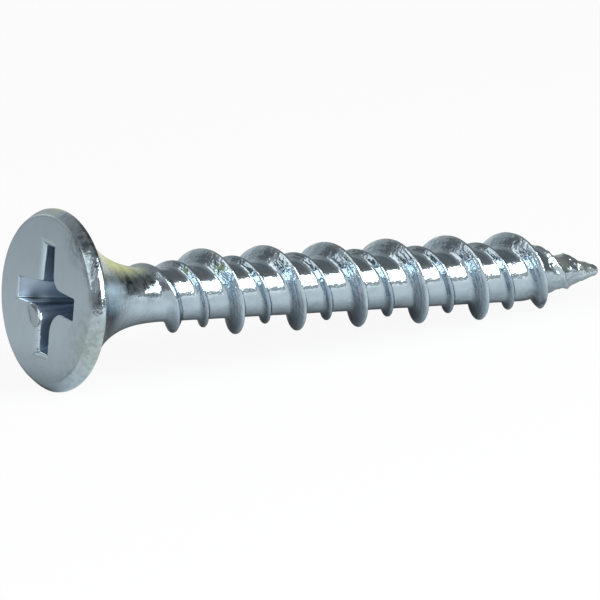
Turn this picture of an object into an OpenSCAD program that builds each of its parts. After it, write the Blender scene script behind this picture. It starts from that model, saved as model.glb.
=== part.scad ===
// Drywall screw: bugle head with a cross recess, and a coarse high-and-low twin thread
// that runs out on a sharp point. One forging, lying down as it comes to rest,
// on the rim of its head and on the underside of its high thread.
// Head to the left, point to the right. Millimetres.

/* [Overall] */
// Length from the flat of the head to the end of the point
screw_length = 29.6; // [26:0.2:40]
// Diameter of the core, between the threads
core_d = 2.44; // [2.2:0.02:2.8]

/* [Head] */
// Diameter of the head
head_d = 8.2; // [7.6:0.1:9.4]
// Thickness of the head's rim, edges included
rim_t = 0.72; // [0.6:0.02:1.2]
// Width of the bevel between the flat and the rim
bevel_w = 0.4; // [0.2:0.01:0.6]
// Distance from the flat to where the bevel ends in the rim
bevel_h = 0.52; // [0.3:0.01:0.52]
// Slope of the bevel where it leaves the flat
bevel_slope = 51; // [30:1:52]
// Radius of the edge between the rim and the bugle
back_edge_r = 0.2; // [0.1:0.01:0.22]
// Distance from the flat to where the bugle ends in the core
bugle_l = 6.2; // [5.4:0.1:8]
// Sharpness of the flare: 2 is a parabola, more hugs the head
bugle_flare = 2.84; // [2.2:0.02:3.4]

/* [Cross recess] */
// Each list goes round the head, from the wing that points down when the screw lies.
// Reach of each wing at the mouth, from the punch's centre
wing_reach = [2.74, 2.47, 2.52, 2.46]; // [2:0.01:2.9]
// Offset of the wings' first sides at their outer ends, from their middle lines
first_end = [0.58, 0.56, 0.6, 0.52]; // [0.4:0.01:0.8]
// Offset of the wings' first sides at their roots
first_root = [0.58, 0.53, 0.66, 0.57]; // [0.4:0.01:0.8]
// Offset of the wings' second sides at their outer ends
second_end = [0.64, 0.54, 0.52, 0.56]; // [0.4:0.01:0.8]
// Offset of the wings' second sides at their roots
second_root = [0.7, 0.69, 0.6, 0.51]; // [0.4:0.01:0.8]
// Radius between each wing and the next one, at the mouth
mouth_blend = [0.8, 0.12, 0.7, 0.95]; // [0.05:0.01:1]
// Radius between each wing and the next one, below the rolled mouth
throat_blend = [0.8, 0.1, 0.64, 0.88]; // [0.05:0.01:1]
// Width of the rolled mouth at the wings' outer ends
roll_end = [0.24, 0.11, 0.19, 0.03]; // [0.02:0.01:0.3]
// Width of the rolled mouth on the wings' first sides
roll_first = [0.04, 0.07, 0.16, 0.04]; // [0.02:0.01:0.3]
// Width of the rolled mouth on the wings' second sides
roll_second = [0.17, 0.04, 0.04, 0.05]; // [0.02:0.01:0.3]
// Most depth of the rolled mouth
roll_depth = 0.3; // [0.1:0.01:0.4]
// Centre and radius of the dent in the corner after the first wing
dent = [0.69, 0.73, 0.72]; // [0.6:0.01:0.9]
// Depth of the wings, measured from the flat
recess_depth = 2.7; // [2:0.05:3]
// Depth of the centre cone below the wings
recess_cone = 0.45; // [0.2:0.05:0.6]
// Reach of the wings at their foot
foot_reach = 1.25; // [1:0.01:1.5]
// Width of the wings at their foot
foot_w = 0.8; // [0.6:0.02:1]
// Radius between neighbouring wings at their foot
foot_blend = 0.16; // [0.05:0.01:0.3]
// How far the punch landed from the middle of the head, down and sideways
punch_drift = [-0.09, 0.12]; // [-0.2:0.01:0.2]

/* [Threads] */
// Diameter over the high thread
thread_d = 3.94; // [3.6:0.02:4.4]
// Diameter over the low thread
low_thread_d = 3.16; // [2.9:0.02:3.5]
// Advance of each thread in one turn
thread_lead = 3.29; // [2.6:0.01:3.8]
// Place of the low thread between two turns of the high one, as a share of a turn
low_place = 0.486; // [0.42:0.002:0.58]
// Angle between the flanks of a thread
flank_angle = 56; // [40:1:64]
// Width of the flat left on a crest
crest_w = 0.1; // [0.06:0.01:0.2]
// Half length of the small slope where a flank meets the core
root_blend = 0.07; // [0.03:0.01:0.1]
// Distance from the flat at which the high thread's crest would first cross the underside
thread_phase = 0.11; // [0:0.01:2.6]
// Distance from the flat to the start of the high thread
high_start = 3.6; // [3.2:0.1:5]
// Length over which the high thread grows to its full height
high_run_in = 4.2; // [2:0.1:6]
// Distance from the flat to the start of the low thread
low_start = 5.2; // [4.4:0.1:7]
// Length over which the low thread grows to its full height
low_run_in = 1.7; // [1:0.1:4]

/* [Point] */
// Length of the cone
point_l = 4.1; // [3.4:0.1:6]
// Diameter of the blunt end
tip_d = 0.46; // [0.3:0.02:0.8]
// Length of plain cone left at the end
plain_tip = 0.8; // [0.4:0.1:1.4]
// Length over which both threads die out before that
run_out = 2.8; // [1.6:0.1:4]

/* [Fineness] */
// Columns of the threaded part in one turn
columns = 36; // [24:4:48]

/* [Hidden] */

head_r = head_d / 2;
core_r = core_d / 2;
tip_r = tip_d / 2;
high_h = thread_d / 2 - core_r;
low_h = low_thread_d / 2 - core_r;
flank_slope = tan(flank_angle / 2);
cone_start = screw_length - point_l;
run_out_end = screw_length - plain_tip;

// The bevel turns from its first slope into the rim
edge_steps = 6;
function curve(a, b, c, steps) =
    [for (i = [0:steps]) let (t = i / steps) (1 - t) * (1 - t) * a + 2 * t * (1 - t) * b + t * t * c];
bevel_line = curve([head_r - bevel_w, 0], [head_r, min(bevel_w * tan(bevel_slope), bevel_h)],
    [head_r, bevel_h], edge_steps);

// The bugle leaves the rounded back edge on its tangent
edge_turn = atan(bugle_flare * (head_r - core_r) / (bugle_l - rim_t));
bugle_start = rim_t - back_edge_r + back_edge_r * sin(edge_turn);
bugle_start_r = head_r - back_edge_r + back_edge_r * cos(edge_turn);
bugle_steps = 16;

// Bottom of the recess, and steps of its outlines
recess_bottom = recess_depth + recess_cone;
bottom_share = 0.2;
blend_steps = 6;
roll_turns = [0, 37, 74];
mouth_rise = 0.3;

// The head ends on a plane shoulder below the recess, and the threaded part starts
// inside it, a hair slimmer
shoulder = recess_bottom + 0.2;
shoulder_lap = 0.4;
shoulder_step = 0.01;

function clamp(x) = min(1, max(0, x));
function arc(c, r, from, to, steps) =
    [for (i = [0:steps]) let (a = from + (to - from) * i / steps) c + r * [cos(a), sin(a)]];

// Radius of the bugle at a distance behind the flat
function bugle_r(s) =
    core_r + (bugle_start_r - core_r) * pow(clamp((bugle_l - s) / (bugle_l - bugle_start)), bugle_flare);

// Radius of the bare shank: core, then cone
function bare_r(s) = core_r - (core_r - tip_r) * clamp((s - cone_start) / point_l);

// Share of a thread's full height that stands at a distance behind the flat
function grown(s, start, run_in) =
    clamp((s - start) / run_in) * clamp((run_out_end - s) / run_out);

// Radius over the high thread
function high_r(s) = bare_r(s) + high_h * grown(s, high_start, high_run_in);

// One turn of both threads, foot to foot: [distance along the axis from the high crest,
// share of the high thread's height, share of the low thread's height]
function ridge(at, h, tall) =
    let (foot = crest_w / 2 + h * flank_slope, low = min(0.3, root_blend / (h * flank_slope)))
    [for (e = [[-foot - root_blend, 0], [-foot + root_blend, low], [-crest_w / 2, 1],
               [crest_w / 2, 1], [foot - root_blend, low], [foot + root_blend, 0]])
        [at + e[0], tall ? e[1] : 0, tall ? 0 : e[1]]];
low_at = low_place * thread_lead;
turn_rows = concat(
    ridge(0, high_h, true), [[low_at / 2, 0, 0]],
    ridge(low_at, low_h, false), [[(low_at + thread_lead) / 2, 0, 0]]);
rows = len(turn_rows);

// The rows follow the thread's helix, and are held at the two end planes
first_row = rows * (floor((shoulder - shoulder_lap - thread_phase) / thread_lead) - 2);
last_row = rows * (ceil((screw_length - thread_phase) / thread_lead) + 1);
function row_s(i, j) =
    let (turn = floor(i / rows))
    thread_phase + thread_lead * (turn + j / columns) + turn_rows[i - turn * rows][0];
function thread_point(i, j) =
    let (
        row = turn_rows[i - floor(i / rows) * rows],
        s = min(screw_length, max(shoulder - shoulder_lap, row_s(i, j))),
        neck = bugle_r(max(s, shoulder)) - core_r + bare_r(s),
        high = high_h * row[1] * grown(s, high_start, high_run_in),
        low = low_h * row[2] * grown(s, low_start, low_run_in),
        r = max(neck, bare_r(s) + max(high, low)) - (s < screw_length ? shoulder_step : 0),
        a = 360 * j / columns
    )
    [r * cos(a), r * sin(a), s];

// How the screw lies: the crest on the underside that takes the weight gives the least tilt
function tilt_on(s, r) =
    let (along = s - (rim_t - back_edge_r), drop = head_r - back_edge_r - r)
    atan2(drop, along) + asin(back_edge_r / norm([along, drop]));
crests_below = [for (s = [thread_phase + crest_w / 2 : thread_lead : run_out_end])
    if (s > high_start + high_run_in) s];
tilt = min([for (s = crests_below) tilt_on(s, high_r(s))]);
axis_rise = (rim_t - back_edge_r) * sin(tilt) + (head_r - back_edge_r) * cos(tilt) + back_edge_r;
left_end = min([for (p = bevel_line) p[1] * cos(tilt) - p[0] * sin(tilt)]);
right_end = screw_length * cos(tilt) + tip_r * sin(tilt);

steel_blue = "#8f9ba6";

// Turned form of the head, from the flat to the shoulder in the neck
module bugle_head() {
    back = arc([head_r - back_edge_r, rim_t - back_edge_r], back_edge_r, 0, edge_turn, edge_steps);
    flare = [for (i = [1:bugle_steps])
        let (s = bugle_start + (shoulder - bugle_start) * pow(i / bugle_steps, 1.5)) [bugle_r(s), s]];
    rotate_extrude($fn = 96)
        polygon(concat([[0, 0]], bevel_line, back, flare, [[0, shoulder]]));
}

// Corner of the outline between two wings: a blend, or an outward dent
function corner_bend(root, next_root, b, dented) =
    !dented ? arc([next_root + b, root + b], b, 270, 180, blend_steps)
    : arc([dent[0], dent[1]], dent[2], asin((root - dent[1]) / dent[2]),
        acos((next_root - dent[0]) / dent[2]), blend_steps);

// Outline of the recess: four wings, each with its own sides
function cross_outline(reach, end_1, root_1, end_2, root_2, blends, dented) =
    [for (q = [0:3])
        let (next = (q + 1) % 4, turn = 90 * q)
        for (p = concat([[reach[q], end_2[q]]],
                corner_bend(root_2[q], root_1[next], blends[q], dented && q == 0),
                [[end_1[next], reach[next]]]))
            [p[0] * cos(turn) - p[1] * sin(turn), p[0] * sin(turn) + p[1] * cos(turn)]];

// Skin through a stack of rings with equal counts of points around the axis, all of them
// level at the first and the last ring, closed at both ends by a fan from the axis
module skin(rings) {
    n = len(rings[0]);
    last = len(rings) - 1;
    points = concat([for (ring = rings) each ring], [[0, 0, rings[0][0][2]], [0, 0, rings[last][0][2]]]);
    hub = n * (last + 1);
    sides = [for (k = [0:last - 1]) for (i = [0:n - 1])
        let (a = k * n + i, b = k * n + (i + 1) % n)
        each [[a, b + n, b], [a, a + n, b + n]]];
    ends = [for (i = [0:n - 1])
        let (next = (i + 1) % n)
        each [[hub, i, next], [hub + 1, last * n + next, last * n + i]]];
    polyhedron(points, concat(sides, ends));
}

// The punch that forms the recess: a rolled mouth, wings with sloped ends and a blunt centre cone
module recess_punch() {
    same = [1, 1, 1, 1];
    mouth = cross_outline(wing_reach, first_end, first_root, second_end, second_root, mouth_blend, true);
    throat = cross_outline(wing_reach - roll_end, first_end - roll_first, first_root - roll_first,
        second_end - roll_second, second_root - roll_second, throat_blend, false);
    side = foot_w / 2 * same;
    foot = cross_outline(foot_reach * same, side, side, side, side, foot_blend * same, false);
    deep = [for (i = [0:len(mouth) - 1]) min(roll_depth, 0.85 * norm(mouth[i] - throat[i]))];
    full = roll_turns[len(roll_turns) - 1];
    rolls = [for (k = [len(roll_turns) - 1:-1:0])
        let (out = (1 - cos(roll_turns[k])) / (1 - cos(full)), down = 1 - sin(roll_turns[k]) / sin(full))
        [for (i = [0:len(mouth) - 1])
            let (p = throat[i] * (1 - out) + mouth[i] * out) [p[0], p[1], deep[i] * down]]];
    translate([punch_drift[0], punch_drift[1], 0])
        skin(concat(
            [[for (p = mouth) [p[0], p[1], -mouth_rise]]], rolls,
            [[for (p = foot) [p[0], p[1], recess_depth]]],
            [[for (p = foot) [bottom_share * p[0], bottom_share * p[1], recess_bottom]]]));
}

// Neck, both threads and point, as one helical grid from the shoulder to the blunt end
module threaded_shank() {
    tall = last_row - first_row;
    grid = [for (i = [first_row:last_row + rows]) for (j = [0:columns - 1]) thread_point(i, j)];
    ends = [[0, 0, shoulder - shoulder_lap], [0, 0, screw_length]];
    points = concat(grid, ends);
    start_hub = len(grid);
    // One turn on, a column meets itself a full set of rows further up
    function at(i, j) = j < columns ? i * columns + j : (i + rows) * columns;
    faces = concat(
        [for (i = [0:tall - 1]) for (j = [0:columns - 1])
            let (a = at(i, j), b = at(i, j + 1), c = at(i + 1, j + 1), d = at(i + 1, j))
            each [[a, c, b], [a, d, c]]],
        [for (j = [0:columns - 1]) [start_hub, at(0, j), at(0, j + 1)]],
        [for (j = [0:columns - 1]) [start_hub + 1, at(tall, j + 1), at(tall, j)]]);
    polyhedron(points, [for (f = faces)
        let (p = points[f[0]], q = points[f[1]], r = points[f[2]]) if (p != q && q != r && r != p) f]);
}

module screw() {
    color(steel_blue)
        translate([-(left_end + right_end) / 2, 0, axis_rise])
            rotate([0, 90 + tilt, 0])
                union() {
                    difference() {
                        bugle_head();
                        recess_punch();
                    }
                    threaded_shank();
                }
}

screw();
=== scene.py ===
# %% [markdown]
# # A zinc-plated drywall screw
# One piece of cold-headed steel wire: a bugle head with a cross recess, a coarse high thread with
# a low thread between its turns, and a sharp point. It lies on a pale table, on the rim of its
# head and on the underside of its high thread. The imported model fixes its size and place, and
# everything here works in millimetres along the screw's own axis, then lays it down.

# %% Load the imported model
import math
import bpy
import numpy as np
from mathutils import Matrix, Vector, noise


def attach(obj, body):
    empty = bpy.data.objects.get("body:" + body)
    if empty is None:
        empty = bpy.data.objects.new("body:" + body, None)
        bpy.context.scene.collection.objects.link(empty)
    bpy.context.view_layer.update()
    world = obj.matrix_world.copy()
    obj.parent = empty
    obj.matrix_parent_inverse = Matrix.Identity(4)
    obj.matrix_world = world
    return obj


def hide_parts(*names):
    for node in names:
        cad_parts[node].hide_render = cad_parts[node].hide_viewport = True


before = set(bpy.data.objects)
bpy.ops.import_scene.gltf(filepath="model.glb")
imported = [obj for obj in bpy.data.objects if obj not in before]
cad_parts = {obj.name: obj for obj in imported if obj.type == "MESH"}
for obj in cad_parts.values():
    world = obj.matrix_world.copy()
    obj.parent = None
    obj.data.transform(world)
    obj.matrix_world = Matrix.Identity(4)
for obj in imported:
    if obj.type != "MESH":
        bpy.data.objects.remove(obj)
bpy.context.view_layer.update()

# %% [markdown]
# ## Sizes
# The same driving sizes as the solid has. The finer mesh below is worked out from them, so it
# keeps the solid's form and only adds what is too fine for it: rolled edges, soft roots, and
# the small unevenness of plated steel.

# %% Driving sizes in millimetres
SCREW_LENGTH = 29.6
CORE_R = 1.22
HEAD_R = 4.1
RIM_T = 0.72
EDGE_W = 0.40
EDGE_H = 0.44
EDGE_SLOPE = math.radians(51)
CREASE_W = 0.09
BACK_EDGE_R = 0.2
BUGLE_L = 6.2
BUGLE_FLARE = 2.84
RECESS_DEPTH = 2.7
RECESS_CONE = 0.45
PUNCH_DRIFT = (-0.09, 0.12)
FLAT_CENTRE = (-0.04, 0.10)
HIGH_R = 1.97
LOW_R = 1.58
LEAD = 3.29
LOW_PLACE = 0.486
FLANK = math.tan(math.radians(28))
CREST_W = 0.1
PHASE = 0.11
HIGH_START, HIGH_RUN_IN = 3.6, 4.2
LOW_START, LOW_RUN_IN = 5.2, 1.7
POINT_L = 4.1
TIP_R = 0.23
PLAIN_TIP, RUN_OUT = 0.8, 2.8
HIGH_H = HIGH_R - CORE_R
LOW_H = LOW_R - CORE_R
print("thread heights:", round(HIGH_H, 3), round(LOW_H, 3))

# %% [markdown]
# ## How the screw lies
# The head's rim and one turn of the high thread touch the table, so the axis dips towards the
# point. The tilt that each turn would give is worked out, and the least one is the real one.

# %% Tilt and place of the axis
def clamp(x):
    return np.clip(x, 0.0, 1.0)


def bare_r(s):
    return CORE_R - (CORE_R - TIP_R) * clamp((s - SCREW_LENGTH + POINT_L) / POINT_L)


def grown(s, start, run_in):
    return clamp((s - start) / run_in) * clamp((SCREW_LENGTH - PLAIN_TIP - s) / RUN_OUT)


def tilt_on(s):
    along = s - (RIM_T - BACK_EDGE_R)
    drop = HEAD_R - BACK_EDGE_R - (bare_r(s) + HIGH_H * grown(s, HIGH_START, HIGH_RUN_IN))
    return math.atan2(drop, along) + math.asin(BACK_EDGE_R / math.hypot(along, drop))


crests = np.arange(PHASE + CREST_W / 2, SCREW_LENGTH - PLAIN_TIP, LEAD)
tilt = min(tilt_on(s) for s in crests if s > HIGH_START + HIGH_RUN_IN)
rise = ((RIM_T - BACK_EDGE_R) * math.sin(tilt) + (HEAD_R - BACK_EDGE_R) * math.cos(tilt) + BACK_EDGE_R)
ALONG = np.array([math.cos(tilt), 0.0, -math.sin(tilt)])
DOWN = np.array([-math.sin(tilt), 0.0, -math.cos(tilt)])
SIDE = np.array([0.0, 1.0, 0.0])
left = -(HEAD_R - EDGE_W) * math.sin(tilt)
right = SCREW_LENGTH * math.cos(tilt) + TIP_R * math.sin(tilt)
HEAD_CENTRE = np.array([-(left + right) / 2, 0.0, rise])
print("tilt in degrees:", round(math.degrees(tilt), 3))


def laid(points):
    """Points (x, y, s) of the screw's own frame, in millimetres, as places in metres."""
    p = np.asarray(points, dtype=float)
    place = HEAD_CENTRE + p[:, :1] * DOWN + p[:, 1:2] * SIDE + p[:, 2:3] * ALONG
    return place / 1000.0


# %% [markdown]
# ## The head and its recess
# A cross recess is struck by a punch in the same blow that forms the head, so its mouth isn't a
# sharp cut: the steel rolls into it. The head is drawn as rings of equal count. The inner rings
# follow the outline of the recess, from its foot up to its rolled mouth, and the rings of the flat
# turn that outline into a circle. A boolean cut would leave long thin faces there, which show in
# bright metal.

# %% Outline of the recess
COLUMNS = 192
QUARTER = COLUMNS // 4
CORNER_STEPS = 4
SIDE_STEPS = 8
END_STEPS = 5
BLEND_STEPS = QUARTER - 2 * (END_STEPS + CORNER_STEPS + SIDE_STEPS)


def arc(centre, radius, start, end, steps):
    a = np.radians(np.linspace(start, end, steps, endpoint=False))
    return np.stack([centre[0] + radius * np.cos(a), centre[1] + radius * np.sin(a)], 1)


def line(a, b, steps):
    t = np.linspace(0, 1, steps, endpoint=False)[:, None]
    return np.array(a) * (1 - t) + np.array(b) * t


def cross_outline(wings, blends, corner, dent=None):
    """One closed outline, COLUMNS points. Each wing has its reach, then the offsets of its two
    sides, first at its end and then at its root."""
    rows = []
    for q in range(4):
        reach, _, side, _, root = wings[q]
        next_reach, next_side, _, next_root, _ = wings[(q + 1) % 4]
        b = blends[q]
        if dent and q == 0:
            x, y, r = dent
            start = math.degrees(math.asin((root - y) / r))
            bend = arc((x, y), r, start, math.degrees(math.acos((next_root - x) / r)), BLEND_STEPS)
        else:
            bend = arc((next_root + b, root + b), b, 270, 180, BLEND_STEPS)
        last = (next_root, root + b) if not (dent and q == 0) else (next_root, y + math.sqrt(r * r - (next_root - x) ** 2))
        half = np.concatenate([
            line((reach, 0), (reach, side - corner), END_STEPS),
            arc((reach - corner, side - corner), corner, 0, 90, CORNER_STEPS),
            line((reach - corner, side), bend[0], SIDE_STEPS),
            bend,
            line(last, (next_side, next_reach - corner), SIDE_STEPS),
            arc((next_side - corner, next_reach - corner), corner, 0, 90, CORNER_STEPS),
            line((next_side - corner, next_reach), (0, next_reach), END_STEPS),
        ])
        turn = math.radians(90 * q)
        spin = np.array([[math.cos(turn), math.sin(turn)], [-math.sin(turn), math.cos(turn)]])
        rows.append(half @ spin)
    return np.concatenate(rows) + np.array(PUNCH_DRIFT)


def ring(outline, s):
    return np.column_stack([outline, np.broadcast_to(s, len(outline))])


def circle(radius, s, centre=(0.0, 0.0)):
    a = np.radians(np.arange(COLUMNS) * 360 / COLUMNS)
    return np.column_stack([centre[0] + radius * np.cos(a), centre[1] + radius * np.sin(a), np.full(COLUMNS, s)])


# wings: down, towards the camera's left, up, towards its right; each is reach, then the far and
# the near side at the wing's end, then both at its root
MOUTH_WINGS = ((2.74, 0.58, 0.74, 0.58, 0.80), (2.47, 0.56, 0.54, 0.53, 0.69),
               (2.64, 0.70, 0.52, 0.76, 0.60), (2.46, 0.52, 0.56, 0.57, 0.51))
ROLLS = ((0.24, 0.04, 0.30), (0.11, 0.07, 0.04), (0.31, 0.26, 0.04), (0.03, 0.04, 0.05))
MOUTH_BLENDS = (2.1, 0.12, 0.70, 0.95)
THROAT_BLENDS = (0.80, 0.10, 0.64, 0.88)
FOOT_WING = (1.25, 0.40, 0.40, 0.40, 0.40)
FOOT_BLEND = 0.16
throat_wings = [(w[0] - r[0], w[1] - r[1], w[2] - r[2], w[3] - r[1], w[4] - r[2])
                for w, r in zip(MOUTH_WINGS, ROLLS)]
DENT = (0.69, 0.73, 0.72)
mouth = cross_outline(MOUTH_WINGS, MOUTH_BLENDS, 0.05, DENT)
throat = cross_outline(throat_wings, THROAT_BLENDS, 0.05)
foot = cross_outline([FOOT_WING] * 4, [FOOT_BLEND] * 4, 0.03)
print("points in a ring:", len(mouth))

# %% Rings of the recess, from its bottom to the flat
ROLL_STEPS = 7
ROLL_END = math.radians(74)
ROLL_DEPTH = 0.30
WALL_STEPS = 10
FOOT_STEPS = 5
FLAT_STEPS = 9
FLAT_R = HEAD_R - EDGE_W
roll_depth = np.minimum(ROLL_DEPTH, 0.85 * np.linalg.norm(mouth - throat, axis=1))
hub = np.array(PUNCH_DRIFT)
head_rings = []
for i in range(FOOT_STEPS):
    share = 0.04 + 0.96 * (i / FOOT_STEPS)
    head_rings.append(ring((foot - hub) * share + hub, RECESS_DEPTH + RECESS_CONE * (1 - share)))
for t in np.linspace(0, 1, WALL_STEPS, endpoint=False):
    head_rings.append(ring(foot * (1 - t) + throat * t, RECESS_DEPTH * (1 - t) + roll_depth * t))
for a in np.linspace(0, ROLL_END, ROLL_STEPS):
    out = (1 - math.cos(a)) / (1 - math.cos(ROLL_END))
    deep = 1 - math.sin(a) / math.sin(ROLL_END)
    head_rings.append(ring(throat * (1 - out) + mouth * out, roll_depth * deep))
recess_rings = len(head_rings)
flat_inner = head_rings[-1]
flat_outer = circle(FLAT_R, 0.0, FLAT_CENTRE)
for t in [0.006] + list(np.linspace(0, 1, FLAT_STEPS + 1)[1:-1]) + [0.993, 1.0]:
    head_rings.append(flat_inner * (1 - t) + flat_outer * t)
print("rings inside the flat:", len(head_rings))

# %% Rings of the rim, the bugle and the neck
SHOULDER = RECESS_DEPTH + RECESS_CONE + 0.2
EDGE_STEPS = 10
BUGLE_STEPS = 36
edge_turn = math.atan(BUGLE_FLARE * (HEAD_R - CORE_R) / (BUGLE_L - RIM_T))
bugle_start = RIM_T - BACK_EDGE_R + BACK_EDGE_R * math.sin(edge_turn)
bugle_start_r = HEAD_R - BACK_EDGE_R + BACK_EDGE_R * math.cos(edge_turn)


def bugle_r(s):
    left_over = clamp((BUGLE_L - s) / (BUGLE_L - bugle_start))
    return CORE_R + (bugle_start_r - CORE_R) * left_over ** BUGLE_FLARE




def curve(a, b, c, steps):
    """Points of a quadratic curve from a to c, drawn towards b, without its first point."""
    t = np.linspace(0, 1, steps + 1)[1:, None]
    return (1 - t) ** 2 * np.array(a) + 2 * t * (1 - t) * np.array(b) + t * t * np.array(c)


crease = (CREASE_W * (1 + math.cos(EDGE_SLOPE)), CREASE_W * math.sin(EDGE_SLOPE))
corner = (EDGE_W, crease[1] + (EDGE_W - crease[0]) * math.tan(EDGE_SLOPE))
edge_line = np.concatenate([curve((0, 0), (CREASE_W, 0), crease, 5),
                            curve(crease, corner, (EDGE_W, EDGE_H), EDGE_STEPS)])
for over, deep in edge_line:
    left_over = 1 - over / EDGE_W
    head_rings.append(circle(FLAT_R + over, deep, (FLAT_CENTRE[0] * left_over, FLAT_CENTRE[1] * left_over)))
for a in np.linspace(0, edge_turn, EDGE_STEPS + 1)[1:]:
    head_rings.append(circle(HEAD_R - BACK_EDGE_R * (1 - math.cos(a)), RIM_T - BACK_EDGE_R * (1 - math.sin(a))))
for t in np.linspace(0, 1, BUGLE_STEPS + 1)[1:]:
    s = bugle_start + (SHOULDER - bugle_start) * t ** 1.5
    head_rings.append(circle(float(bugle_r(s)), s))
print("rings of the head:", len(head_rings))

# %% [markdown]
# ## The twin thread
# The threads are rolled, not cut: the steel is squeezed up between two dies, so each root is a
# soft curve and each crest is a narrow round. The grid follows the helix, with one row along
# each line of the ridges. After a turn, a column meets itself one full set of rows further on.

# %% Rows across the two ridges
ROOT_SOFT = 0.05
CREST_SOFT = 0.032


def ridge_share(u, h):
    """Height of a ridge of full height h, at a distance u along the axis from its crest."""
    foot_at = CREST_W / 2 + h * FLANK
    straight = (foot_at - np.abs(u)) / FLANK
    soft = 0.5 * (straight + np.sqrt(straight ** 2 + ROOT_SOFT ** 2))
    top = h - soft
    return h - 0.5 * (top + np.sqrt(top ** 2 + CREST_SOFT ** 2))


def ridge_rows(h, inner):
    foot_at = CREST_W / 2 + h * FLANK
    outer = [foot_at - 0.06, foot_at, foot_at + 0.07, foot_at + 0.16]
    half = sorted(inner + outer)
    return sorted([-u for u in half if u > 0] + half)


high_rows = ridge_rows(HIGH_H, [0.0, 0.03, 0.06, 0.1, 0.2, 0.31])
low_rows = ridge_rows(LOW_H, [0.0, 0.03, 0.06, 0.11])
low_at = LOW_PLACE * LEAD
gap_a = (low_at - high_rows[-1] + low_rows[0]) / 3 + 0.0
gap_b = (LEAD - low_at - low_rows[-1] + high_rows[0]) / 3
turn_rows = np.array(
    high_rows
    + [high_rows[-1] + gap_a, high_rows[-1] + 2 * gap_a]
    + [low_at + u for u in low_rows]
    + [low_at + low_rows[-1] + gap_b, low_at + low_rows[-1] + 2 * gap_b])
ROWS = len(turn_rows)
print("rows in one turn:", ROWS)

# %% Helical grid of the threaded part
first_row = ROWS * (math.floor((SHOULDER - PHASE) / LEAD) - 2)
last_row = ROWS * (math.ceil((SCREW_LENGTH - PHASE) / LEAD) + 1)
row_index = np.arange(first_row, last_row + ROWS)
column_index = np.arange(COLUMNS)
turn_of = row_index // ROWS
row_offset = turn_rows[row_index - turn_of * ROWS]
axis_place = PHASE + LEAD * (turn_of[:, None] + column_index[None] / COLUMNS) + row_offset[:, None]
held = np.clip(axis_place, SHOULDER, SCREW_LENGTH)
from_high = (axis_place - PHASE - LEAD * column_index[None] / COLUMNS + LEAD / 2) % LEAD - LEAD / 2
from_low = (from_high - low_at + LEAD / 2) % LEAD - LEAD / 2
high = ridge_share(from_high, HIGH_H) * grown(held, HIGH_START, HIGH_RUN_IN)
low = ridge_share(from_low, LOW_H) * grown(held, LOW_START, LOW_RUN_IN)
neck = bugle_r(held) - CORE_R + bare_r(held)
shank_r = np.maximum(neck, bare_r(held) + np.maximum(np.maximum(high, low), 0.0))
column_a = np.radians(column_index * 360 / COLUMNS)
shank_grid = np.stack([shank_r * np.cos(column_a), shank_r * np.sin(column_a), held], 2)
print("grid of the threaded part:", shank_grid.shape)

# %% [markdown]
# ## One closed mesh
# Head rings and helical grid share the ring at the shoulder, so merging the points that fall
# together closes the whole screw. Rows held at an end plane collapse there and drop out.

# %% Join the rings and the grid
WELD = 1e-4


def build_faces():
    points, faces, dull = [], [], []
    hub_bottom = np.array([[*PUNCH_DRIFT, RECESS_DEPTH + RECESS_CONE]])
    points.append(hub_bottom)
    points.extend(head_rings)
    base = 1
    for i in range(COLUMNS):
        faces.append((0, base + (i + 1) % COLUMNS, base + i))
        dull.append(True)
    for k in range(len(head_rings) - 1):
        a, b = base + k * COLUMNS, base + (k + 1) * COLUMNS
        for i in range(COLUMNS):
            j = (i + 1) % COLUMNS
            faces.append((a + i, a + j, b + j, b + i))
            dull.append(k < FOOT_STEPS + WALL_STEPS)
    grid_base = base + len(head_rings) * COLUMNS
    points.append(shank_grid.reshape(-1, 3))
    tall = last_row - first_row

    def at(i, j):
        return grid_base + (i * COLUMNS + j if j < COLUMNS else (i + ROWS) * COLUMNS)

    for i in range(tall):
        for j in range(COLUMNS):
            if held[i + 1, j] <= SHOULDER and held[min(i + 1 + ROWS, tall), 0] <= SHOULDER:
                continue
            faces.append((at(i, j), at(i, j + 1), at(i + 1, j + 1), at(i + 1, j)))
            dull.append(False)
    tip = grid_base + shank_grid.shape[0] * COLUMNS
    points.append(np.array([[0.0, 0.0, SCREW_LENGTH]]))
    for j in range(COLUMNS):
        faces.append((tip, at(tall, j), at(tall, j + 1)))
        dull.append(False)
    return np.concatenate(points), faces, dull


def welded(points, faces, dull):
    keys = np.round(points / WELD).astype(np.int64)
    unique, first, inverse = np.unique(keys, axis=0, return_index=True, return_inverse=True)
    inverse = inverse.reshape(-1)
    clean, kept = [], []
    for f, flag in zip(faces, dull):
        g = []
        for v in inverse[list(f)]:
            if not g or v != g[-1]:
                g.append(int(v))
        if len(g) > 1 and g[0] == g[-1]:
            g.pop()
        if len(g) >= 3:
            clean.append(tuple(g))
            kept.append(flag)
    return points[first], clean, kept


points, faces, dull = welded(*build_faces())
print("points:", len(points), "faces:", len(faces))

# %% [markdown]
# ## Small unevenness
# Plated screws tumble against each other in bulk, so no surface is a perfect mirror: it
# undulates by a few thousandths of a millimetre, and crests carry small flats. The wave lengths
# here are real distances on the steel, and each wave pushes points in or out along the radius.

# %% Undulation of the steel
WAVES = ((1.1, 0.006), (0.42, 0.0035))
CREST_NICK = 0.02
NICK_LENGTH = 0.5
ROUGH_START = 25.2
BLUNT = 0.3
TIP_ROUND = 0.25
ROUGH_WAVES = ((0.5, 0.06), (0.22, 0.045))


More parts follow.
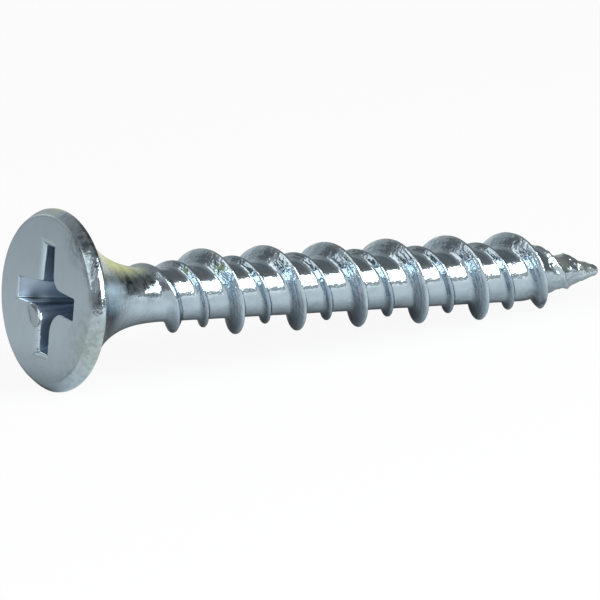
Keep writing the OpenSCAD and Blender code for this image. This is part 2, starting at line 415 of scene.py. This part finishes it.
def uneven(points):
    moved = points.copy()
    radius = np.hypot(points[:, 0], points[:, 1])
    flat = points[:, 2] < 1e-6
    for i, (x, y, s) in enumerate(points):
        if flat[i] or radius[i] < 1e-6:
            continue
        if s < RECESS_DEPTH + RECESS_CONE + 0.01 and radius[i] < (2.8 if s < RIM_T else float(bugle_r(s)) - 0.05):
            continue
        push = sum(h * noise.noise(Vector((x, y, s)) / w) for w, h in WAVES)
        rough = float(clamp((s - ROUGH_START) / 1.5) * clamp((SCREW_LENGTH - s) / 0.3))
        push += rough * sum(h * noise.noise(Vector((y, s, x)) / w) for w, h in ROUGH_WAVES)
        push -= rough * BLUNT * max(0.0, radius[i] - float(bare_r(s)))
        if radius[i] > HIGH_R - 0.06 and s > SHOULDER:
            push -= CREST_NICK * max(0.0, noise.noise(Vector((x, y, s)) / NICK_LENGTH) - 0.15)
        over = float(clamp((s - SCREW_LENGTH + TIP_ROUND) / TIP_ROUND))
        scale = (radius[i] + push) / radius[i] * math.sqrt(1 - 0.8 * over * over)
        moved[i, 0] *= scale
        moved[i, 1] *= scale
    return moved


mesh = bpy.data.meshes.new("screw_steel")
mesh.from_pydata([tuple(p) for p in laid(uneven(points))], [], faces)
mesh.validate()
mesh.polygons.foreach_set("use_smooth", [True] * len(mesh.polygons))
mesh.update()
steel = bpy.data.objects.new("screw_steel", mesh)
bpy.context.scene.collection.objects.link(steel)
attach(steel, "root")
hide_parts("screw")
triangles = sum(len(f) - 2 for f in faces)
print("triangles:", triangles)

# %% [markdown]
# ## Zinc plate with a blue passivation
# Electroplated zinc is a thin bright coat, a little bluer and duller than chrome. A clear
# passivation film covers it, and where the film is thick it turns faintly yellow-green, here at
# the top of the neck and of the rim. The coat is not even: it is finely pebbled, which breaks the
# edges of the reflections into specks. So the finish is a metal with a fine bump and a
# roughness that varies.

# %% Helpers for colours and nodes
def linear(hex_colour):
    channels = [int(hex_colour[i:i + 2], 16) / 255 for i in (1, 3, 5)]
    return [c / 12.92 if c <= 0.04045 else ((c + 0.055) / 1.055) ** 2.4 for c in channels] + [1.0]


def add(tree, kind, inputs=None, **settings):
    """Adds a node, sets its properties, and fills or links its inputs."""
    node = tree.nodes.new(kind)
    for name, value in settings.items():
        setattr(node, name, value)
    for name, value in (inputs or {}).items():
        if isinstance(value, bpy.types.NodeSocket):
            tree.links.new(value, node.inputs[name])
        else:
            node.inputs[name].default_value = value
    return node


# %% Zinc material
ZINC = "#bdcdd5"
ZINC_DULL = "#aebec8"
FILM_AND_REFLECTION_GREEN = "#dbe08a"
# grey of the dark blots: darker spots on the neck, painted shade round the rim and low near the point
DARK_SPOT_AND_SHADE_GREY = "#444d51"
# painted shade: the middle of the thread's flanks is mixed a third of the way towards this dark blue
FLANK_PAINTED_SHADE_BLUE = "#5c7086"
PEBBLE_MM = 0.26
GRAIN_MM = 0.11
MARK_MM = 0.13
MARK_LENGTH_MM = 1.1
PATCH_MM = 0.8


def zinc_material():
    material = bpy.data.materials.new("blue_passivated_zinc_plate")
    material.use_nodes = True
    tree = material.node_tree
    tree.nodes.clear()
    place = add(tree, "ShaderNodeTexCoord").outputs["Object"]
    per_m = 1000.0
    pebble = add(tree, "ShaderNodeTexNoise", {"Vector": place, "Scale": per_m / PEBBLE_MM, "Detail": 1.5,
                                              "Roughness": 0.6})
    grain = add(tree, "ShaderNodeTexNoise", {"Vector": place, "Scale": per_m / GRAIN_MM, "Detail": 1.0})
    patch = add(tree, "ShaderNodeTexNoise", {"Vector": place, "Scale": per_m / PATCH_MM, "Detail": 4.0,
                                             "Roughness": 0.65})
    dull = add(tree, "ShaderNodeMapRange", {"Value": patch.outputs["Fac"], "From Min": 0.46, "From Max": 0.68})
    from_axis = add(tree, "ShaderNodeVectorMath", {0: place, 1: tuple(laid([(0, 0, 0)])[0])},
                    operation="SUBTRACT").outputs["Vector"]
    along = add(tree, "ShaderNodeVectorMath", {0: from_axis, 1: tuple(ALONG)}, operation="DOT_PRODUCT")
    off_flat = add(tree, "ShaderNodeMapRange", {"Value": along.outputs["Value"], "From Min": 0.00002,
                                                "From Max": 0.0003, "To Min": 0.2, "To Max": 1.0})
    across = add(tree, "ShaderNodeVectorMath", {0: from_axis, 1: tuple(ALONG)}, operation="CROSS_PRODUCT")
    out = add(tree, "ShaderNodeVectorMath", {0: across.outputs["Vector"]}, operation="LENGTH")
    past_neck = add(tree, "ShaderNodeMapRange", {"Value": along.outputs["Value"], "From Min": 0.005,
                                                 "From Max": 0.0065})
    # painted shade between the ridges: a band over the middle of the thread's flanks, past the neck
    flank_in = add(tree, "ShaderNodeMapRange", {"Value": out.outputs["Value"], "From Min": 0.00132,
                                                "From Max": 0.00148})
    flank_out = add(tree, "ShaderNodeMapRange", {"Value": out.outputs["Value"], "From Min": 0.00186,
                                                 "From Max": 0.00170})
    flank_painted_shade = add(tree, "ShaderNodeMath", {0: flank_in.outputs["Result"], 1: flank_out.outputs["Result"]},
                operation="MINIMUM")
    flank_painted_shade = add(tree, "ShaderNodeMath", {0: flank_painted_shade.outputs["Value"], 1: past_neck.outputs["Result"]},
                operation="MULTIPLY")
    flank_painted_shade = add(tree, "ShaderNodeMath", {0: flank_painted_shade.outputs["Value"], 1: 0.32}, operation="MULTIPLY")
    dull = add(tree, "ShaderNodeMath", {0: dull.outputs["Result"], 1: off_flat.outputs["Result"]},
               operation="MULTIPLY")
    colour = add(tree, "ShaderNodeMix", {"Factor": dull.outputs["Value"], "A": linear(ZINC),
                                         "B": linear(ZINC_DULL)}, data_type="RGBA")
    colour = add(tree, "ShaderNodeMix", {"Factor": flank_painted_shade.outputs["Value"], "A": colour.outputs["Result"],
                                         "B": linear(FLANK_PAINTED_SHADE_BLUE)}, data_type="RGBA")
    # the dark blots, mottled by the pebble: darker spots on the neck, painted shade round the rim and low on the
    # last turn
    mottle = add(tree, "ShaderNodeMapRange", {"Value": pebble.outputs["Fac"], "From Min": 0.40, "From Max": 0.58,
                                            "To Min": 1.0, "To Max": 0.35})
    dark_spots_and_shade = add(tree, "ShaderNodeMath", {0: blots(tree, place, DARK_BLOTS), 1: mottle.outputs["Result"]},
               operation="MULTIPLY")
    spotted_and_shaded = add(tree, "ShaderNodeMix", {"Factor": dark_spots_and_shade.outputs["Value"], "A": colour.outputs["Result"],
                                         "B": linear(DARK_SPOT_AND_SHADE_GREY)}, data_type="RGBA")
    film_and_warm_reflection = blots(tree, place, FILM_AND_WARM_REFLECTION_BLOTS)
    tinted = add(tree, "ShaderNodeMix", {"Factor": film_and_warm_reflection, "A": spotted_and_shaded.outputs["Result"],
                                         "B": linear(FILM_AND_REFLECTION_GREEN)}, data_type="RGBA")
    metal = add(tree, "ShaderNodeMapRange", {"Value": film_and_warm_reflection, "To Min": 1.0, "To Max": 0.1})
    rough = add(tree, "ShaderNodeMapRange", {"Value": patch.outputs["Fac"], "From Min": 0.3, "From Max": 0.7,
                                             "To Min": 0.08, "To Max": 0.15})
    rough = add(tree, "ShaderNodeMath", {0: rough.outputs["Result"], 1: blots(tree, place, DULL_BLOTS)},
                operation="ADD")
    on_thread = add(tree, "ShaderNodeMapRange", {"Value": out.outputs["Value"], "From Min": 0.00126,
                                                 "From Max": 0.00140, "To Min": 0.45, "To Max": 1.0})
    on_point = add(tree, "ShaderNodeMapRange", {"Value": along.outputs["Value"], "From Min": 0.0248,
                                                "From Max": 0.0262, "To Max": 1.7})
    uneven_by = add(tree, "ShaderNodeMath", {0: on_thread.outputs["Result"], 1: on_point.outputs["Result"]},
                    operation="MAXIMUM")
    on_rim = add(tree, "ShaderNodeMapRange", {"Value": along.outputs["Value"], "From Min": 0.0007,
                                              "From Max": 0.0010, "To Min": 1.0, "To Max": 0.4})
    off_neck = add(tree, "ShaderNodeMath", {0: on_rim.outputs["Result"], 1: past_neck.outputs["Result"]},
                   operation="MAXIMUM")
    uneven_by = add(tree, "ShaderNodeMath", {0: uneven_by.outputs["Value"], 1: off_flat.outputs["Result"]},
                    operation="MULTIPLY")
    uneven_by = add(tree, "ShaderNodeMath", {0: uneven_by.outputs["Value"], 1: off_neck.outputs["Value"]},
                    operation="MULTIPLY")
    coarse = add(tree, "ShaderNodeBump", {"Height": pebble.outputs["Fac"], "Distance": 0.000026,
                                          "Strength": uneven_by.outputs["Value"]})
    rings = add(tree, "ShaderNodeMath", {0: out.outputs["Value"], 1: per_m / MARK_MM}, operation="MULTIPLY")
    turns = add(tree, "ShaderNodeMath", {0: along.outputs["Value"], 1: per_m / MARK_LENGTH_MM},
                operation="MULTIPLY")
    ring_place = add(tree, "ShaderNodeCombineXYZ", {"X": rings.outputs["Value"], "Y": turns.outputs["Value"]})
    marks = add(tree, "ShaderNodeTexNoise", {"Vector": ring_place.outputs["Vector"], "Scale": 1.0,
                                             "Detail": 1.0})
    rolled = add(tree, "ShaderNodeBump", {"Height": marks.outputs["Fac"], "Distance": 0.000018,
                                          "Strength": past_neck.outputs["Result"],
                                          "Normal": coarse.outputs["Normal"]})
    fine = add(tree, "ShaderNodeBump", {"Height": grain.outputs["Fac"], "Strength": off_flat.outputs["Result"], "Distance": 0.000007,
                                        "Normal": rolled.outputs["Normal"]})
    shader = add(tree, "ShaderNodeBsdfPrincipled", {"Base Color": tinted.outputs["Result"],
                                                    "Metallic": metal.outputs["Result"],
                                                    "Roughness": rough.outputs["Value"],
                                                    "Normal": fine.outputs["Normal"]})
    add(tree, "ShaderNodeOutputMaterial", {"Surface": shader.outputs["BSDF"]})
    return material


RECESS_ZINC = "#b2c3d3"
# painted shade: the lower part of the recess's left wing is mixed towards this dark grey
RECESS_PAINTED_SHADE = "#39434b"
RECESS_SHADE_BLOTS = (((0.40, 2.1, 0.7), 0.75, 0.95), ((0.35, 1.4, 1.2), 0.8, 0.85))


def recess_material():
    material = bpy.data.materials.new("dull_zinc_plate_of_recess")
    material.use_nodes = True
    tree = material.node_tree
    tree.nodes.clear()
    place = add(tree, "ShaderNodeTexCoord").outputs["Object"]
    pebble = add(tree, "ShaderNodeTexNoise", {"Vector": place, "Scale": 1000.0 / PEBBLE_MM, "Detail": 2.0})
    bump = add(tree, "ShaderNodeBump", {"Height": pebble.outputs["Fac"], "Strength": 1.0, "Distance": 0.000006})
    # painted shade low in the left wing of the recess
    dark_spots_and_shade = blots(tree, place, RECESS_SHADE_BLOTS)
    colour = add(tree, "ShaderNodeMix", {"Factor": dark_spots_and_shade, "A": linear(RECESS_ZINC), "B": linear(RECESS_PAINTED_SHADE)},
                 data_type="RGBA")
    shader = add(tree, "ShaderNodeBsdfPrincipled", {"Base Color": colour.outputs["Result"], "Metallic": 0.88,
                                                    "Roughness": 0.30, "Normal": bump.outputs["Normal"]})
    add(tree, "ShaderNodeOutputMaterial", {"Surface": shader.outputs["BSDF"]})
    return material


def blots(tree, place, spots):
    """Soft round blots on the screw, each a place (x, y, s), a reach and a strength."""
    total = None
    for (x, y, s), reach, strength in spots:
        spot = laid([(x, y, s)])[0]
        away = add(tree, "ShaderNodeVectorMath", {0: place, 1: tuple(spot)}, operation="DISTANCE")
        blot = add(tree, "ShaderNodeMapRange", {"Value": away.outputs["Value"], "From Min": reach / 1000,
                                                "From Max": 0.0, "To Min": 0.0, "To Max": strength},
                   interpolation_type="SMOOTHSTEP")
        if total is None:
            total = blot.outputs["Result"]
        else:
            total = add(tree, "ShaderNodeMath", {0: total, 1: blot.outputs["Result"]},
                        operation="MAXIMUM").outputs["Value"]
    return total


# yellow-green blots: the thick passivation film on top of the neck and of the rim; the faint one low on the rim
# is a painted reflection, a warm tint; two faint ones lie on top of the point
FILM_AND_WARM_REFLECTION_BLOTS = (((-2.35, -1.2, 1.7), 1.45, 1.0), ((-2.1, -0.95, 2.3), 1.35, 1.0), ((-1.9, -0.7, 3.0), 1.25, 1.0),
              ((-1.65, -0.45, 3.7), 1.05, 0.9), ((-1.45, -0.3, 4.4), 0.8, 0.6), ((-4.5, 0.3, 0.7), 1.0, 0.8),
              ((1.6, -3.9, 0.5), 2.4, 0.12), ((-0.7, -0.5, 27.2), 1.1, 0.14), ((-0.3, -0.3, 28.7), 0.9, 0.12))
# dark blots: the first three are darker spots on top of the neck; the five round the rim and the last one, low on
# the last full turn, are painted shade
DARK_BLOTS = (((-1.0, -1.3, 3.5), 1.4, 1.0), ((-0.8, -1.2, 4.7), 1.2, 0.95), ((-0.95, -1.6, 2.8), 0.9, 0.6),
              ((-1.0, -3.9, 0.5), 0.9, 0.9), ((-3.2, -2.5, 0.5), 1.8, 0.8), ((-2.2, -3.4, 0.4), 1.2, 0.7),
              ((1.4, -3.9, 0.4), 2.8, 0.42), ((3.2, -2.9, 0.4), 2.0, 0.35), ((1.4, -1.0, 26.0), 1.9, 0.85))
DULL_BLOTS = (((-0.9, -2.6, 1.6), 1.3, 0.4), ((-0.8, -2.0, 2.5), 1.4, 0.35))
steel.data.materials.append(zinc_material())
steel.data.materials.append(recess_material())
steel.data.polygons.foreach_set("material_index", [int(flag) for flag in dull])
print("materials:", [m.name for m in steel.data.materials])

# %% [markdown]
# ## Table, surroundings and light
# Bright metal shows its surroundings and little else, so the room is the larger part of its
# finish: a white table, a wide soft light in front, a dark ceiling above, and a pale grey wall
# behind. The camera itself sees plain white.

# %% Table
TABLE_HALF = 0.6
TABLE_WHITE = "#f6f8fa"
TABLE_SHADE = "#8d9092"


def table():
    bpy.ops.mesh.primitive_plane_add(size=2 * TABLE_HALF, location=(0, 0, 0))
    plane = bpy.context.object
    plane.name = "table"
    material = bpy.data.materials.new("white_table")
    material.use_nodes = True
    tree = material.node_tree
    tree.nodes.clear()
    place = add(tree, "ShaderNodeTexCoord").outputs["Object"]
    # painted shade: under and just behind the screw the table is mixed towards grey; the camera sees 7 per cent
    # of it, the metal mirrors all of it
    away = add(tree, "ShaderNodeVectorMath", {0: place, 1: (0.001, 0.0018, 0.0)}, operation="SUBTRACT")
    scaled = add(tree, "ShaderNodeVectorMath", {0: away.outputs["Vector"], 1: (40.0, 200.0, 0.0)},
                 operation="MULTIPLY")
    reach = add(tree, "ShaderNodeVectorMath", {0: scaled.outputs["Vector"]}, operation="LENGTH")
    shade = add(tree, "ShaderNodeMapRange", {"Value": reach.outputs["Value"], "From Min": 1.2, "From Max": 0.2},
                interpolation_type="SMOOTHSTEP")
    colour = add(tree, "ShaderNodeMix", {"Factor": shade.outputs["Result"], "A": linear(TABLE_WHITE),
                                         "B": linear(TABLE_SHADE)}, data_type="RGBA")
    matt = add(tree, "ShaderNodeBsdfDiffuse", {"Color": colour.outputs["Result"]})
    glow = add(tree, "ShaderNodeEmission", {"Color": (1.0, 1.0, 1.0, 1.0), "Strength": 1.0})
    seen = add(tree, "ShaderNodeLightPath")
    share = add(tree, "ShaderNodeMath", {0: seen.outputs["Is Camera Ray"], 1: 0.93}, operation="MULTIPLY")
    mixed = add(tree, "ShaderNodeMixShader", {0: share.outputs["Value"], 1: matt.outputs["BSDF"],
                                              2: glow.outputs["Emission"]})
    add(tree, "ShaderNodeOutputMaterial", {"Surface": mixed.outputs["Shader"]})
    plane.data.materials.append(material)
    return plane


table()
print("table made")

# %% World
WALL_LEVEL = 0.50
CEILING_LEVEL = 0.30
FILL_LEVEL = 0.17
# stretches of the room that are darker or paler than the wall: azimuth, elevation, the angles at
# which each is whole and gone, and its level
ROOM_PARTS = ((100, 28, 24, 46, 0.17), (-50, 8, 8, 18, 0.33), (-112, 33, 8, 16, 0.20),
              (-168, 18, 8, 18, 0.80))


def towards(azimuth, elevation):
    a, e = math.radians(azimuth), math.radians(elevation)
    return (math.sin(a) * math.cos(e), -math.cos(a) * math.cos(e), math.sin(e))


def studio_world():
    world = bpy.data.worlds.new("studio")
    bpy.context.scene.world = world
    world.use_nodes = True
    tree = world.node_tree
    tree.nodes.clear()
    way = add(tree, "ShaderNodeTexCoord").outputs["Generated"]
    height = add(tree, "ShaderNodeSeparateXYZ", {"Vector": way}).outputs["Z"]
    level = add(tree, "ShaderNodeMapRange", {"Value": height, "From Min": 0.60, "From Max": 0.85,
                                             "To Min": WALL_LEVEL, "To Max": CEILING_LEVEL},
                interpolation_type="SMOOTHSTEP").outputs["Result"]
    for azimuth, elevation, whole, gone, part_level in ROOM_PARTS:
        near = add(tree, "ShaderNodeVectorMath", {0: way, 1: towards(azimuth, elevation)},
                   operation="DOT_PRODUCT").outputs["Value"]
        part = add(tree, "ShaderNodeMapRange", {"Value": near, "From Min": math.cos(math.radians(gone)),
                                                "From Max": math.cos(math.radians(whole))},
                   interpolation_type="SMOOTHSTEP").outputs["Result"]
        level = add(tree, "ShaderNodeMix", {"Factor": part, "A": level, "B": part_level}).outputs["Result"]
    room = add(tree, "ShaderNodeBackground", {"Strength": level})
    fill = add(tree, "ShaderNodeBackground", {"Strength": FILL_LEVEL})
    white = add(tree, "ShaderNodeBackground", {"Strength": 1.0})
    for node in (room, fill, white):
        node.inputs["Color"].default_value = (1.0, 1.0, 1.0, 1.0)
    seen = add(tree, "ShaderNodeLightPath")
    mirrored = add(tree, "ShaderNodeMixShader", {0: seen.outputs["Is Glossy Ray"], 1: fill.outputs["Background"],
                                                 2: room.outputs["Background"]})
    mixed = add(tree, "ShaderNodeMixShader", {0: seen.outputs["Is Camera Ray"], 1: mirrored.outputs["Shader"],
                                              2: white.outputs["Background"]})
    add(tree, "ShaderNodeOutputWorld", {"Surface": mixed.outputs["Shader"]})


studio_world()
print("world made")

# %% Lamps
def soft_light(name, azimuth, elevation, distance, width, height, power):
    lamp = bpy.data.lights.new(name, "AREA")
    lamp.shape = "RECTANGLE"
    lamp.size = width
    lamp.size_y = height
    lamp.energy = power
    holder = bpy.data.objects.new(name, lamp)
    spot = distance * Vector(towards(azimuth, elevation))
    holder.location = spot
    holder.rotation_euler = (-spot).to_track_quat("-Z", "Y").to_euler()
    bpy.context.scene.collection.objects.link(holder)
    return holder


soft_light("front_window", 31, 31, 0.14, 0.113, 0.082, 0.163)
soft_light("second_window", -16, 31, 0.14, 0.0906, 0.082, 0.105)
soft_light("left_window", -77, 35, 0.3, 0.135, 0.165, 0.070)
print("lamps made")

# %% [markdown]
# ## Camera
# A long lens from far away, as in a catalogue picture: the near head is hardly larger than
# the point. It looks along the screw from the head's side, a little from above.

# %% Camera
CAMERA_AZIMUTH = -32.37
CAMERA_ELEVATION = 14.99
CAMERA_DISTANCE = 0.5
FACE_SCALE = 22.5
FACE_PIXEL = (46.1, 300.85)
SENSOR = 36.0
PICTURE = 600


def camera():
    a, e = math.radians(CAMERA_AZIMUTH), math.radians(CAMERA_ELEVATION)
    look = np.array([-math.sin(a) * math.cos(e), math.cos(a) * math.cos(e), -math.sin(e)])
    across = np.array([math.cos(a), math.sin(a), 0.0])
    up = np.cross(across, look)
    side = (FACE_PIXEL[0] - PICTURE / 2) / FACE_SCALE / 1000
    high = (PICTURE / 2 - FACE_PIXEL[1]) / FACE_SCALE / 1000
    spot = HEAD_CENTRE / 1000 - side * across - high * up - CAMERA_DISTANCE * look
    data = bpy.data.cameras.new("camera")
    data.sensor_width = SENSOR
    data.lens = FACE_SCALE * CAMERA_DISTANCE * 1000 / PICTURE * SENSOR
    data.clip_start = 0.01
    data.clip_end = 10.0
    holder = bpy.data.objects.new("camera", data)
    holder.location = Vector(spot)
    holder.rotation_euler = Vector(look).to_track_quat("-Z", "Y").to_euler()
    bpy.context.scene.collection.objects.link(holder)
    bpy.context.scene.camera = holder
    return holder


camera()
bpy.context.scene.view_settings.view_transform = "Standard"
print("camera lens:", round(bpy.context.scene.camera.data.lens, 1))
